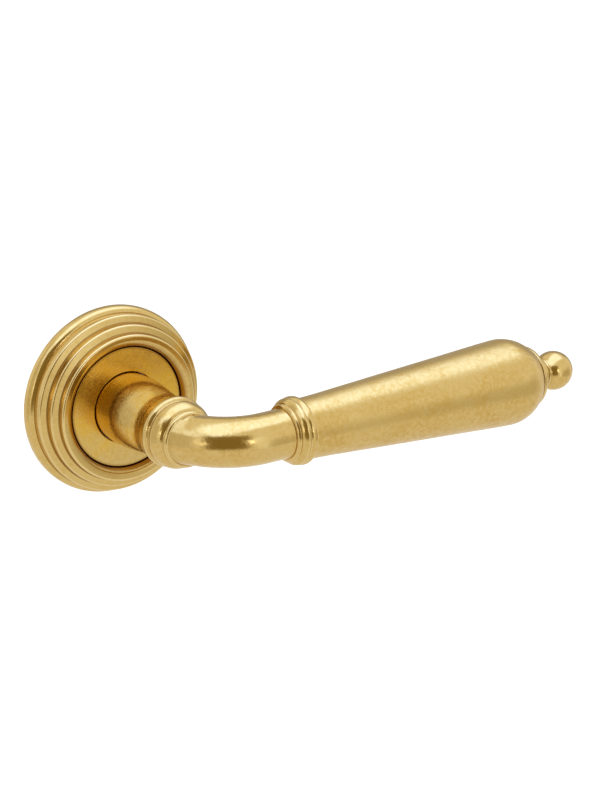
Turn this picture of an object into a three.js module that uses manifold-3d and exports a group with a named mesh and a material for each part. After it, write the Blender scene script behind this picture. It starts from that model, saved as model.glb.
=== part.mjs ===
// A brass door lever on a round stepped rose, with its spring cassette, spindle and fixings.
//
// Millimetres, +Z up. The origin is where the spindle's axis meets the door face. -Y is out into the
// room, +Y into the door, and +X runs along the lever. "Reach" is the distance out from the door face,
// so a point's y is minus its reach.
import * as THREE from "three";
import { mergeVertices } from "three/addons/utils/BufferGeometryUtils.js";
import Module from "manifold-3d";

const wasm = await Module();
wasm.setup();

// ---- driving dimensions ----
const SIDES = 36; // facets round a large turned piece
const SMALL_SIDES = 16; // facets round a screw, pin or rod

// Rose: a rounded rim and then three steps, each with its riser's radius and the reach of foot and crest.
const COVER_RADIUS = 26;
const RIM_ROUNDING = 2;
const RIM_CREST = 3.55;
const COVER_STEPS = [
  { radius: 24.45, foot: 3.55, crest: 6.1 },
  { radius: 22.35, foot: 6.6, crest: 8.7 },
  { radius: 20.2, foot: 9.2, crest: 11.1 },
];
const COVER_WALL = 1.2;
const CREST_ROUNDING = 0.7;
const COVER_MOUTH = 16.85; // radius of the hole in the cover's front
const SKIRT_REACH = 7.9; // where the cover's inner skirt ends
const DISC_RADIUS = 16.55;
const DISC_FACE = 9.55; // reach of the flat ring in the middle of the rose

// Base plate and bolt posts.
const BASE_RADIUS = 24.4;
const PLATE_HOLE = 10.4;
const SNAP_GROOVE = { depth: 0.9, back: 0.4, front: 1.65 };
const BASE_THICKNESS = 2.1;
const POST_SPACING = 38; // between the two through-bolt posts
const POST_RADIUS = 3.6;
const POST_LENGTH = 6.5;

// Spring cassette.
const HOUSING_BACK = 2.3;
const HOUSING_WALL = 1.3;
const EAR_LENGTH = 6.2;
const EAR_HEIGHT = 7;
const HOUSING_FLOOR = 3.1;
const HOUSING_RADIUS = 16.3;
const HOUSING_TOP = 6.7;
const LID_TOP = 7.4;
const EAR_REACH = 18.9; // from the axis to each housing screw
const CAM_BACK = 3.3;
const CAM_FRONT = 4.6;
const COIL_RADIUS = 13.6;
const SPRING_WIRE = 0.5; // wire radius
const SPRING_TURNS = 2.25;
const LUG_ANGLE = 90; // where the cam's lug stands at rest, from +X towards +Z
const LUG_HALF_WIDTH = 14; // degrees
const STOP_RADIUS = 11.5;
const STOP_PIN = 0.8;
const LEVER_TRAVEL = 45; // degrees

// Lever.
const TAIL_RADIUS = 8; // the neck's turned tail, inside the rose
const TAIL_END = 0.6;
const TAIL_FLAT = 7; // half the width across the tail's two flats
const SHOULDER_REACH = 8.1;
const NECK_RADIUS = 9.6;
const LIP_REACH = 41.4; // where the collar ends and the arm begins
const ARM_RADIUS = 6.55;
const ARM_END = 21.7;
const GRIP_REACH = 50.6; // from the door face to the grip's axis
const GRIP_START = 27.6;
const GRIP_END = 103.6;
const GRIP_START_RADIUS = 7.95;
const GRIP_CREST = 95.2; // where the grip is thickest
const GRIP_RADIUS = 12.05;
const BALL_CENTRE = 114.3;
const BALL_RADIUS = 5.53;
const SPIGOT_RADIUS = 5;
const SPIGOT_END = 34;
const ROD_RADIUS = 2.5;

// Spindle and its screw.
const SPINDLE_SIDE = 8;
const SPINDLE_BACK = 23; // how far it stands behind the door face
const SPINDLE_FRONT = 29.5;
const GRUB_REACH = 14;
const GRUB_RADIUS = 2.3;
const GRUB_LENGTH = 4.4;
const KEY_RADIUS = 1.44; // the grub screw's hexagon socket

const PLAY = 0.3; // gap left where two pieces would touch

// ---- finishes ----
function finish(color, roughness, metalness = 1) {
  return new THREE.MeshStandardMaterial({ color, roughness, metalness });
}
const satinBrass = finish(0xd9b25f, 0.38);
const burnishedBrass = finish(0xb98a34, 0.45);
const zincDiecast = finish(0x9a9c9e, 0.55);
const zincPlate = finish(0xb9bcc0, 0.4);
const springSteel = finish(0x5d6066, 0.35);
const blackSteel = finish(0x33353a, 0.45);
const nylon = finish(0xe6e2d6, 0.6, 0);

// ---- shape helpers ----
const radians = (degrees) => (degrees * Math.PI) / 180;

// A manifold-3d solid of a closed geometry, with its faces turned to point out.
function solid(geometry) {
  geometry.deleteAttribute("normal");
  geometry.deleteAttribute("uv");
  const merged = mergeVertices(geometry, 1e-4);
  const index = merged.index.array;
  const faces = [];
  for (let i = 0; i < index.length; i += 3) {
    const [a, b, c] = index.slice(i, i + 3);
    if (a !== b && b !== c && c !== a) faces.push(a, b, c);
  }
  const build = (triVerts) =>
    new wasm.Manifold(
      new wasm.Mesh({
        numProp: 3,
        vertProperties: merged.attributes.position.array,
        triVerts: new Uint32Array(triVerts),
      }),
    );
  const made = build(faces);
  return made.volume() > 0 ? made : build(faces.reverse());
}

function mesh(name, shape, material) {
  const { vertProperties, triVerts } = shape.getMesh();
  const geometry = new THREE.BufferGeometry();
  geometry.setAttribute("position", new THREE.BufferAttribute(vertProperties, 3));
  geometry.setIndex(new THREE.BufferAttribute(triVerts, 1));
  geometry.computeVertexNormals();
  const made = new THREE.Mesh(geometry, material);
  made.name = name;
  return made;
}

function lathe(outline, sides) {
  const points = [...outline, outline[0]].map(([r, along]) => new THREE.Vector2(r, along));
  return new THREE.LatheGeometry(points, sides);
}

// Turns a closed outline of [radius, reach] points about the spindle's axis, or one parallel to it.
function turned(outline, sides = SIDES, x = 0, z = 0) {
  const flipped = outline.map(([r, reach]) => [r, -reach]);
  return solid(lathe(flipped, sides).translate(x, 0, z));
}

// Turns a closed outline of [radius, x] points about the grip's axis.
function turnedOnGrip(outline, sides = SIDES) {
  return solid(
    lathe(outline, sides)
      .rotateZ(-Math.PI / 2)
      .translate(0, -GRIP_REACH, 0),
  );
}

// Extrudes a shape drawn in x and z from one reach to another.
function plate(shape, back, front, curveSegments = 12) {
  const depth = front - back;
  const geometry = new THREE.ExtrudeGeometry(shape, { depth, bevelEnabled: false, curveSegments });
  return solid(geometry.rotateX(Math.PI / 2).translate(0, -back, 0));
}

function block(width, height, back, front, x = 0, z = 0) {
  const geometry = new THREE.BoxGeometry(width, front - back, height);
  return solid(geometry.translate(x, -(back + front) / 2, z));
}

function tube(path, radius, steps, sides) {
  const section = new THREE.Shape().absarc(0, 0, radius, 0, 2 * Math.PI);
  const geometry = new THREE.ExtrudeGeometry(section, {
    extrudePath: path,
    steps,
    curveSegments: sides,
    bevelEnabled: false,
  });
  return solid(geometry);
}

// A piece of a flat ring, between two radii and two angles in degrees.
function ringSector(inner, outer, from, to) {
  const shape = new THREE.Shape();
  shape.absarc(0, 0, outer, radians(from), radians(to), false);
  shape.absarc(0, 0, inner, radians(to), radians(from), true);
  shape.closePath();
  return shape;
}

// Points on an arc of an outline, about a centre, between two angles in degrees.
function arc(centreR, centreAlong, radius, from, to, steps) {
  return Array.from({ length: steps + 1 }, (_, i) => {
    const angle = radians(from + ((to - from) * i) / steps);
    return [centreR + radius * Math.cos(angle), centreAlong + radius * Math.sin(angle)];
  });
}

// ---- rose ----
function roseCover() {
  const rim = [
    [COVER_RADIUS, 0],
    ...arc(COVER_RADIUS - RIM_ROUNDING, RIM_CREST - RIM_ROUNDING, RIM_ROUNDING, 0, 72, 4),
  ];
  const outside = COVER_STEPS.flatMap(({ radius, foot, crest }) => [
    [radius, foot],
    [radius, crest - CREST_ROUNDING],
    [radius - 0.3 * CREST_ROUNDING, crest - 0.3 * CREST_ROUNDING],
    [radius - CREST_ROUNDING, crest],
  ]);
  const lip = [
    [18.5, 10.95],
    [17.6, 10.55],
    [COVER_MOUTH, 9.7],
    [COVER_MOUTH, SKIRT_REACH],
    [COVER_MOUTH + COVER_WALL, SKIRT_REACH],
    [COVER_MOUTH + COVER_WALL, 9.3],
  ];
  const overPlate = BASE_THICKNESS + 0.2;
  const inside = [...COVER_STEPS].reverse().flatMap(({ radius, foot, crest }) => [
    [radius - COVER_WALL, crest - COVER_WALL],
    [radius - COVER_WALL, Math.max(foot - COVER_WALL - 0.4, overPlate)],
  ]);
  const rimInside = [
    [COVER_RADIUS - COVER_WALL, overPlate],
    [COVER_RADIUS - COVER_WALL, 0],
  ];
  return turned([...rim, ...outside, ...lip, ...inside, ...rimInside]);
}

function faceDisc() {
  const back = LID_TOP + PLAY;
  return turned([
    [NECK_RADIUS + PLAY, back],
    [DISC_RADIUS, back],
    [DISC_RADIUS, DISC_FACE - 0.35],
    [DISC_RADIUS - 0.35, DISC_FACE],
    [NECK_RADIUS + PLAY + 0.2, DISC_FACE],
    [NECK_RADIUS + PLAY, DISC_FACE - 0.2],
  ]);
}

// A countersunk screw's outline: head at the front, shank towards the door.
function screwOutline(head, shank, front, back) {
  const headDepth = head - shank;
  return [
    [0, back],
    [shank - 0.3, back],
    [shank, back + 0.3],
    [shank, front - headDepth - 0.3],
    [head, front - 0.3],
    [head, front],
    [0, front],
  ];
}

function countersunkScrew(head, shank, front, back) {
  const body = turned(screwOutline(head, shank, front, back), SMALL_SIDES);
  const slot = block(3 * head, 0.7, front - 0.6, front + 1);
  return body.subtract(slot);
}

// The hole that a countersunk screw sits in, right through what it holds.
function screwHole(head, shank, front, back, x, z) {
  const outline = screwOutline(head + PLAY, shank + PLAY, front + 0.1, back - 1);
  return turned([...outline.slice(0, -2), [head + PLAY, front + 1], [0, front + 1]], SMALL_SIDES, x, z);
}

const POST_SCREW = { head: 3.1, shank: 1.6, front: 2.0, back: -5 };
const EAR_SCREW = { head: 2.2, shank: 1.2, front: 3.2, back: 0.3 };

function basePlate() {
  const groove = SNAP_GROOVE;
  let made = turned([
    [PLATE_HOLE, 0],
    [BASE_RADIUS, 0],
    [BASE_RADIUS, groove.back],
    [BASE_RADIUS - groove.depth, groove.back],
    [BASE_RADIUS - groove.depth, groove.front],
    [BASE_RADIUS, groove.front],
    [BASE_RADIUS, BASE_THICKNESS],
    [PLATE_HOLE, BASE_THICKNESS],
  ]);
  const post = POST_SCREW;
  const ear = EAR_SCREW;
  for (const side of [-1, 1]) {
    const z = (side * POST_SPACING) / 2;
    made = made.subtract(screwHole(post.head, post.shank, post.front, post.back, 0, z));
    made = made.subtract(screwHole(ear.head, ear.shank, ear.front, ear.back, side * EAR_REACH, 0));
  }
  return made;
}

function boltPost() {
  const bore = POST_SCREW.shank + 0.15;
  return turned(
    [
      [bore, -POST_LENGTH],
      [POST_RADIUS - 0.4, -POST_LENGTH],
      [POST_RADIUS, -POST_LENGTH + 0.4],
      [POST_RADIUS, -0.1],
      [bore, -0.1],
    ],
    SMALL_SIDES,
  );
}

function arcPath(radius, from, to, reach) {
  const at = (degrees) =>
    new THREE.Vector3(
      radius * Math.cos(radians(degrees)),
      -reach,
      radius * Math.sin(radians(degrees)),
    );
  const count = 24;
  const points = Array.from({ length: count + 1 }, (_, i) => at(from + ((to - from) * i) / count));
  return new THREE.CatmullRomCurve3(points);
}

function snapRing() {
  return tube(arcPath(BASE_RADIUS - 0.25, 12, 348, 1.02), 0.45, 32, 3);
}

function springHousing() {
  let made = turned([
    [TAIL_RADIUS + PLAY, HOUSING_BACK],
    [HOUSING_RADIUS, HOUSING_BACK],
    [HOUSING_RADIUS, HOUSING_TOP],
    [HOUSING_RADIUS - HOUSING_WALL, HOUSING_TOP],
    [HOUSING_RADIUS - HOUSING_WALL, HOUSING_FLOOR],
    [TAIL_RADIUS + PLAY, HOUSING_FLOOR],
  ]);
  for (const side of [-1, 1]) {
    const x = side * (HOUSING_RADIUS - HOUSING_WALL / 2 + EAR_LENGTH / 2);
    const { head, shank, front, back } = EAR_SCREW;
    const ear = block(EAR_LENGTH, EAR_HEIGHT, HOUSING_BACK, front, x);
    const hole = screwHole(head, shank, front, back, side * EAR_REACH, 0);
    made = made.add(ear).subtract(hole);
  }
  for (const angle of [stopAngles().rest, stopAngles().down]) {
    const { x, z } = polar(STOP_RADIUS, angle);
    const hole = turned(
      [
        [0, 0],
        [STOP_PIN + 0.1, 0],
        [STOP_PIN + 0.1, HOUSING_FLOOR + 0.5],
        [0, HOUSING_FLOOR + 0.5],
      ],
      SMALL_SIDES,
      x,
      z,
    );
    made = made.subtract(hole);
  }
  const slot = plate(
    ringSector(HOUSING_RADIUS - 2, HOUSING_RADIUS + 1, springStart() - 4, springStart() + 4),
    HOUSING_FLOOR,
    HOUSING_TOP + 1,
  );
  return made.subtract(slot);
}

function housingLid() {
  return turned([
    [NECK_RADIUS + 0.1, HOUSING_TOP + 0.1],
    [HOUSING_RADIUS, HOUSING_TOP + 0.1],
    [HOUSING_RADIUS, LID_TOP],
    [NECK_RADIUS + 0.1, LID_TOP],
  ]);
}

function polar(radius, degrees) {
  return { x: radius * Math.cos(radians(degrees)), z: radius * Math.sin(radians(degrees)) };
}

// Where the two pins stand that the cam's lug stops against: at rest, and with the lever down.
function stopAngles() {
  const pinHalfWidth = (Math.asin(STOP_PIN / STOP_RADIUS) * 180) / Math.PI;
  const clear = LUG_HALF_WIDTH + pinHalfWidth + 1;
  return { rest: LUG_ANGLE + clear, down: LUG_ANGLE - clear - LEVER_TRAVEL };
}

function stopPin() {
  return turned(
    [
      [0, HOUSING_BACK + 0.1],
      [STOP_PIN, HOUSING_BACK + 0.1],
      [STOP_PIN, CAM_FRONT - 0.3],
      [STOP_PIN - 0.25, CAM_FRONT],
      [0, CAM_FRONT],
    ],
    SMALL_SIDES,
  );
}

const FINGER_HALF_WIDTH = 5; // degrees
const springEnd = () => LUG_ANGLE - FINGER_HALF_WIDTH - 4;
const springStart = () => (springEnd() + SPRING_TURNS * 360) % 360;

// Two and a quarter turns of wire: the near leg sits in the housing's slot, the far one by the finger.
function returnSpring() {
  const low = CAM_BACK + 0.55;
  const high = HOUSING_TOP - 0.65;
  const total = SPRING_TURNS * 360;
  const count = 40;
  const at = (radius, degrees, reach) => {
    const { x, z } = polar(radius, degrees);
    return new THREE.Vector3(x, -reach, z);
  };
  const points = [at(COIL_RADIUS + 2.1, springStart(), low), at(COIL_RADIUS + 1, springStart(), low)];
  for (let i = 1; i < count; i += 1) {
    const share = i / count;
    points.push(at(COIL_RADIUS, springStart() - total * share, low + (high - low) * share));
  }
  points.push(at(COIL_RADIUS - 1, springEnd(), high));
  points.push(at(COIL_RADIUS - 2.4, springEnd(), high));
  return tube(new THREE.CatmullRomCurve3(points), SPRING_WIRE, 80, 3);
}

function neckBush() {
  const bore = TAIL_RADIUS + 0.15;
  const flangeBack = CAM_FRONT + PLAY;
  return turned([
    [bore, flangeBack],
    [TAIL_RADIUS + 2.2, flangeBack],
    [TAIL_RADIUS + 2.2, flangeBack + 0.6],
    [NECK_RADIUS - 0.1, flangeBack + 0.6],
    [NECK_RADIUS - 0.1, LID_TOP],
    [bore, LID_TOP],
  ]);
}

// ---- lever ----
// Neck and reeded collar as [radius, reach]: a waisted neck, a flange, an ovolo and a thin lip.
const NECK_OUTLINE = [
  [NECK_RADIUS, SHOULDER_REACH],
  [NECK_RADIUS, 11],
  [NECK_RADIUS + 0.1, 13.5],
  [NECK_RADIUS, 16.5],
  [9.2, 20],
  [8.75, 23.5],
  [8.4, 27],
  [8.5, 29.4],
  [8.75, 31],
  [9.15, 32.2],
  [9.42, 33.2],
  [9.38, 34],
  [9.05, 34.5],
  [8.6, 34.8],
  [8.5, 35.1],
  [8.75, 35.5],
  [9, 36.2],
  [8.85, 37.2],
  [8.35, 38.3],
  [7.7, 39.1],
  [7.1, 39.6],
  [6.9, 39.9],
  [7.15, 40.2],
  [7.42, 40.6],
  [7.4, 41],
  [7, LIP_REACH],
];

// The arm's centreline, as x and reach, from inside the collar's lip to the grip's axis.
const ARM_ROUTE = [
  [0, 39.5],
  [0.7, 41.5],
  [2.5, 43.8],
  [4.9, 46.1],
  [7.1, 48.0],
  [9.9, 49.5],
  [13, 50.3],
  [16.5, GRIP_REACH],
  [ARM_END, GRIP_REACH],
];

function leverArm() {
  const neck = turned([
    [0, TAIL_END],
    [TAIL_RADIUS - 0.4, TAIL_END],
    [TAIL_RADIUS - 0.4, 0.95],
    [TAIL_RADIUS - 0.8, 0.95],
    [TAIL_RADIUS - 0.8, 1.75],
    [TAIL_RADIUS, 1.75],
    [TAIL_RADIUS, SHOULDER_REACH],
    ...NECK_OUTLINE,
    [0, LIP_REACH],
  ]);
  const route = ARM_ROUTE.map(([x, reach]) => new THREE.Vector3(x, -reach, 0));
  const arm = tube(new THREE.CatmullRomCurve3(route), ARM_RADIUS, 16, 18);
  const spigot = turnedOnGrip(
    [
      [0, ARM_END - 4],
      [SPIGOT_RADIUS, ARM_END - 4],
      [SPIGOT_RADIUS, SPIGOT_END - 0.5],
      [SPIGOT_RADIUS - 0.5, SPIGOT_END],
      [0, SPIGOT_END],
    ],
    SMALL_SIDES,
  );
  const rodHole = turnedOnGrip(
    [
      [0, 24.7],
      [ROD_RADIUS + 0.2, 24.7],
      [ROD_RADIUS + 0.2, SPIGOT_END + 1],
      [0, SPIGOT_END + 1],
    ],
    SMALL_SIDES,
  );
  const socket = block(SPINDLE_SIDE + 0.4, SPINDLE_SIDE + 0.4, TAIL_END - 1, SPINDLE_FRONT + 0.5);
  let made = neck.add(arm).add(spigot).subtract(rodHole).subtract(socket).subtract(grubHole());
  for (const side of [-1, 1]) {
    const x = side * (TAIL_FLAT + 2);
    made = made.subtract(block(4, 20, TAIL_END - 1, CAM_FRONT + 0.1, x));
  }
  return made;
}

// The grub screw's hole, up from the neck's underside into the spindle's socket.
function grubHole() {
  const geometry = new THREE.CylinderGeometry(GRUB_RADIUS + 0.2, GRUB_RADIUS + 0.2, 8, SMALL_SIDES);
  return solid(geometry.rotateX(Math.PI / 2).translate(0, -GRUB_REACH, -SPINDLE_SIDE / 2 - 3.9));
}

function grubScrew() {
  const top = -SPINDLE_SIDE / 2 - PLAY;
  const body = new THREE.CylinderGeometry(GRUB_RADIUS, GRUB_RADIUS, GRUB_LENGTH, SMALL_SIDES);
  const key = new THREE.CylinderGeometry(KEY_RADIUS, KEY_RADIUS, 2, 6);
  const place = (geometry, z) => solid(geometry.rotateX(Math.PI / 2).translate(0, -GRUB_REACH, z));
  return place(body, top - GRUB_LENGTH / 2).subtract(place(key, top - GRUB_LENGTH));
}

function spindle() {
  const half = SPINDLE_SIDE / 2;
  const chamfer = 0.6;
  const inner = half - chamfer;
  const shape = new THREE.Shape();
  shape.moveTo(-inner, -inner);
  shape.lineTo(inner, -inner);
  shape.lineTo(inner, inner);
  shape.lineTo(-inner, inner);
  shape.closePath();
  const depth = SPINDLE_BACK + SPINDLE_FRONT - 2 * chamfer;
  const geometry = new THREE.ExtrudeGeometry(shape, {
    depth,
    bevelThickness: chamfer,
    bevelSize: chamfer,
    bevelSegments: 1,
  });
  return solid(geometry.rotateX(Math.PI / 2).translate(0, SPINDLE_BACK - chamfer, 0));
}

// The ring that the tail drives: a hole with two flats, a lug for the stops and a finger for the spring.
function camRing() {
  const hub = turned([
    [0, CAM_BACK],
    [TAIL_RADIUS + 2.2, CAM_BACK],
    [TAIL_RADIUS + 2.2, CAM_FRONT],
    [0, CAM_FRONT],
  ]);
  const bore = turned([
    [0, CAM_BACK - 1],
    [TAIL_RADIUS + 0.15, CAM_BACK - 1],
    [TAIL_RADIUS + 0.15, CAM_FRONT + 1],
    [0, CAM_FRONT + 1],
  ]).intersect(block(2 * TAIL_FLAT + 0.3, 30, CAM_BACK - 1, CAM_FRONT + 1));
  const lugShape = ringSector(
    TAIL_RADIUS + 1,
    STOP_RADIUS + 1.1,
    LUG_ANGLE - LUG_HALF_WIDTH,
    LUG_ANGLE + LUG_HALF_WIDTH,
  );
  const fingerShape = ringSector(
    STOP_RADIUS - 0.7,
    STOP_RADIUS + 0.9,
    LUG_ANGLE - FINGER_HALF_WIDTH,
    LUG_ANGLE + FINGER_HALF_WIDTH,
  );
  const lug = plate(lugShape, CAM_BACK, CAM_FRONT);
  const finger = plate(fingerShape, CAM_FRONT - 0.5, HOUSING_TOP - 0.3, 3);
  return hub.add(lug).add(finger).subtract(bore);
}

function circlip() {
  return plate(ringSector(TAIL_RADIUS - 0.6, TAIL_RADIUS + 1.6, -70, 250), 1.05, 1.65, 20);
}

// A spring washer: a thin ring that waves gently in and out three times round.
function waveWasher() {
  const outline = [
    [TAIL_RADIUS + 0.3, -0.12],
    [TAIL_RADIUS + 1.7, -0.12],
    [TAIL_RADIUS + 1.7, 0.12],
    [TAIL_RADIUS + 0.3, 0.12],
  ];
  const geometry = lathe(outline, 36);
  const position = geometry.getAttribute("position");
  for (let i = 0; i < position.count; i += 1) {
    const angle = Math.atan2(position.getZ(i), position.getX(i));
    position.setY(i, position.getY(i) + 0.06 * Math.sin(3 * angle));
  }
  return solid(geometry.translate(0, -2.0, 0));
}

function thrustWasher() {
  return turned([
    [TAIL_RADIUS + 0.2, LID_TOP + 0.15],
    [NECK_RADIUS, LID_TOP + 0.15],
    [NECK_RADIUS, SHOULDER_REACH - 0.15],
    [TAIL_RADIUS + 0.2, SHOULDER_REACH - 0.15],
  ]);
}

// The ferrule between arm and grip, as [radius, x]: a small bead, a larger bead and a broad band.
function gripFerrule() {
  const bore = SPIGOT_RADIUS + 0.25;
  return turnedOnGrip([
    [bore, ARM_END + 0.2],
    [7.1, ARM_END + 0.2],
    [7.65, 22.2],
    [7.65, 22.7],
    [7.45, 23.05],
    [8.4, 23.4],
    [8.85, 24],
    [8.8, 24.6],
    [8.5, 25],
    [8.9, 25.3],
    [9.05, 25.9],
    [9, 26.6],
    [8.7, 27.1],
    [7.8, GRIP_START - PLAY],
    [bore, GRIP_START - PLAY],
  ]);
}

// A long cone that swells to a domed end, bored for the rod and counterbored for the arm's spigot.
function grip() {
  const domeEnd = (Math.asin((GRIP_END - GRIP_CREST) / GRIP_RADIUS) * 180) / Math.PI;
  const bore = ROD_RADIUS + 0.5;
  return turnedOnGrip([
    [SPIGOT_RADIUS + 0.3, GRIP_START],
    [GRIP_START_RADIUS - 0.3, GRIP_START],
    [GRIP_START_RADIUS, GRIP_START + 0.4],
    [10.2, 65],
    [11.7, 88.5],
    [11.95, 92.5],
    ...arc(0, GRIP_CREST, GRIP_RADIUS, 0, domeEnd, 6),
    [bore, GRIP_END],
    [bore, SPIGOT_END + PLAY],
    [SPIGOT_RADIUS + 0.3, SPIGOT_END + PLAY],
  ]);
}

function endCollar() {
  const bore = ROD_RADIUS + 0.3;
  const start = GRIP_END + 0.2;
  return turnedOnGrip(
    [
      [bore, start],
      [8.6, start],
      [8.55, 104.5],
      [8.2, 105.1],
      [7.5, 105.55],
      [7, 105.75],
      ...arc(8.6, 109.8, 4.5, 243, 184, 5),
      [bore, 109.5],
    ],
    36,
  );
}

function ballFinial() {
  const ringEnd = 110.4;
  const touch = (Math.acos((ringEnd - BALL_CENTRE) / BALL_RADIUS) * 180) / Math.PI;
  const hole = ROD_RADIUS + 0.2;
  return turnedOnGrip(
    [
      [hole, 109.7],
      [3.9, 109.7],
      [4.15, 110],
      ...arc(0, BALL_CENTRE, BALL_RADIUS, 90 - touch, 90, 9),
      [0, 113.6],
      [hole, 113.6],
    ],
    28,
  );
}

function tieRod() {
  return turnedOnGrip(
    [
      [0, 25],
      [ROD_RADIUS - 0.3, 25],
      [ROD_RADIUS, 25.3],
      [ROD_RADIUS, 113],
      [ROD_RADIUS - 0.3, 113.3],
      [0, 113.3],
    ],
    16,
  );
}

// ---- assembly ----
const lever = new THREE.Group();
lever.add(
  mesh("rose_cover", roseCover(), satinBrass),
  mesh("face_disc", faceDisc(), burnishedBrass),
  mesh("base_plate", basePlate(), zincDiecast),
  mesh("cover_snap_ring", snapRing(), springSteel),
  mesh("spring_housing", springHousing(), zincDiecast),
  mesh("housing_lid", housingLid(), zincPlate),
  mesh("return_spring", returnSpring(), springSteel),
  mesh("neck_bush", neckBush(), nylon),
);

for (const [place, side] of [["upper", 1], ["lower", -1]]) {
  const z = (side * POST_SPACING) / 2;
  const { head, shank, front, back } = POST_SCREW;
  const post = mesh(`bolt_post_${place}`, boltPost(), zincPlate);
  const screw = mesh(`post_screw_${place}`, countersunkScrew(head, shank, front, back), blackSteel);
  post.position.z = z;
  screw.position.z = z;
  lever.add(post, screw);
}

for (const [place, side] of [["right", 1], ["left", -1]]) {
  const { head, shank, front, back } = EAR_SCREW;
  const screw = mesh(`housing_screw_${place}`, countersunkScrew(head, shank, front, back), blackSteel);
  screw.position.x = side * EAR_REACH;
  lever.add(screw);
}

for (const [place, angle] of Object.entries(stopAngles())) {
  const pin = mesh(`stop_pin_${place}`, stopPin(), springSteel);
  const { x, z } = polar(STOP_RADIUS, angle);
  pin.position.set(x, 0, z);
  lever.add(pin);
}

lever.add(
  mesh("lever_arm", leverArm(), satinBrass),
  mesh("cam_ring", camRing(), zincPlate),
  mesh("circlip", circlip(), springSteel),
  mesh("wave_washer", waveWasher(), springSteel),
  mesh("thrust_washer", thrustWasher(), nylon),
  mesh("spindle", spindle(), zincPlate),
  mesh("grub_screw", grubScrew(), blackSteel),
  mesh("grip_ferrule", gripFerrule(), satinBrass),
  mesh("grip", grip(), satinBrass),
  mesh("end_collar", endCollar(), satinBrass),
  mesh("ball_finial", ballFinial(), satinBrass),
  mesh("tie_rod", tieRod(), zincPlate),
);

export default lever;
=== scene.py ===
"""A brass door lever on a stepped round rose: the fine turned pieces, their finishes and the studio."""

import math

import bmesh
import bpy
from bpy.props import FloatProperty, FloatVectorProperty, IntProperty, PointerProperty
from mathutils import Matrix, Vector
from mathutils.geometry import interpolate_bezier


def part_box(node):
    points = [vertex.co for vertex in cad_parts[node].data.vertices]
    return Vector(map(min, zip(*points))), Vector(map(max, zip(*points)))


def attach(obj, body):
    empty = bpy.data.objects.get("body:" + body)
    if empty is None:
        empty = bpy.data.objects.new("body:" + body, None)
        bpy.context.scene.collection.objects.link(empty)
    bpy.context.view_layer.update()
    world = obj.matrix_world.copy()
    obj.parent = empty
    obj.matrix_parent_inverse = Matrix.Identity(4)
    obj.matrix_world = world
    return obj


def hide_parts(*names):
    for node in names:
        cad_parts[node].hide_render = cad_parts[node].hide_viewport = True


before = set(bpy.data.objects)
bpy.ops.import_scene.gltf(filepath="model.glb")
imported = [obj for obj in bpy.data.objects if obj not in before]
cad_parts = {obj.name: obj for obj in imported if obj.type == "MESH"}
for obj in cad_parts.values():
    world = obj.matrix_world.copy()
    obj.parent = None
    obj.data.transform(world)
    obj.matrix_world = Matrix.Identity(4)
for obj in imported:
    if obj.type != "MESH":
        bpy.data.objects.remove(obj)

bl_info = {
    "name": "Brass door lever",
    "version": (1, 0, 0),
    "blender": (4, 5, 0),
    "location": "3D View > Sidebar > Door lever",
    "description": "Turns, sweeps and finishes the pieces of a brass lever handle on a round rose",
    "category": "Add Mesh",
}

MM = 0.001
FULL_TURN = 2 * math.pi
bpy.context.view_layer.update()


# ---- sizes read from the frame, in millimetres ----
# Reach is the distance out from the door face, so a point's y is minus its reach.
def reach_span(node):
    """The reach of a node's back and of its front."""
    low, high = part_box(node)
    return -high.y / MM, -low.y / MM


def x_span(node):
    """Where a node starts and ends along the lever."""
    low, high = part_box(node)
    return low.x / MM, high.x / MM


def radius_of(node):
    """Half a turned node's height."""
    low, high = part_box(node)
    return (high.z - low.z) / 2 / MM


COVER_BACK, COVER_CREST = reach_span("rose_cover")
COVER_RADIUS = radius_of("rose_cover")
DISC_BACK, DISC_FACE = reach_span("face_disc")
DISC_RADIUS = radius_of("face_disc")
TAIL_END = reach_span("lever_arm")[0]
FERRULE_START, FERRULE_END = x_span("grip_ferrule")
GRIP_START, GRIP_END = x_span("grip")
GRIP_RADIUS = radius_of("grip")
GRIP_REACH = sum(reach_span("grip")) / 2
CUP_START, CUP_END = x_span("end_collar")
BALL_START, BALL_END = x_span("ball_finial")
BALL_RADIUS = radius_of("ball_finial")
SPINDLE_BACK, SPINDLE_FRONT = reach_span("spindle")
SPINDLE_SIDE = 2 * radius_of("spindle")
POST_BACK, POST_FRONT = reach_span("bolt_post_upper")
POST_RADIUS = radius_of("bolt_post_upper")
GRUB_BACK, GRUB_FRONT = reach_span("grub_screw")
GRUB_REACH = (GRUB_BACK + GRUB_FRONT) / 2
GRUB_HOLE_RADIUS = (GRUB_FRONT - GRUB_BACK) / 2 + 0.2

# The gap round the face ring, and a place on the neck where its golden tint fades to plain brass.
GAP = 0.18
THUMB_SPOT = (-8.4, -21.0, 4.0)


class RoseSizes(bpy.types.PropertyGroup):
    """Sizes of the rose that a maker would change."""

    crest_rounding: FloatProperty(
        name="Crest rounding",
        description="Radius on the outer edge of each step of the cover",
        default=0.62 * MM,
        unit="LENGTH",
    )
    foot_rounding: FloatProperty(
        name="Foot rounding",
        description="Radius in the corner at the foot of each step",
        default=0.4 * MM,
        unit="LENGTH",
    )
    cover_wall: FloatProperty(
        name="Cover wall",
        description="Thickness of the cover's sheet",
        default=1.2 * MM,
        unit="LENGTH",
    )
    turning_steps: IntProperty(
        name="Turning steps",
        description="Faces round each turned piece",
        default=144,
        min=24,
        max=256,
    )


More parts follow.
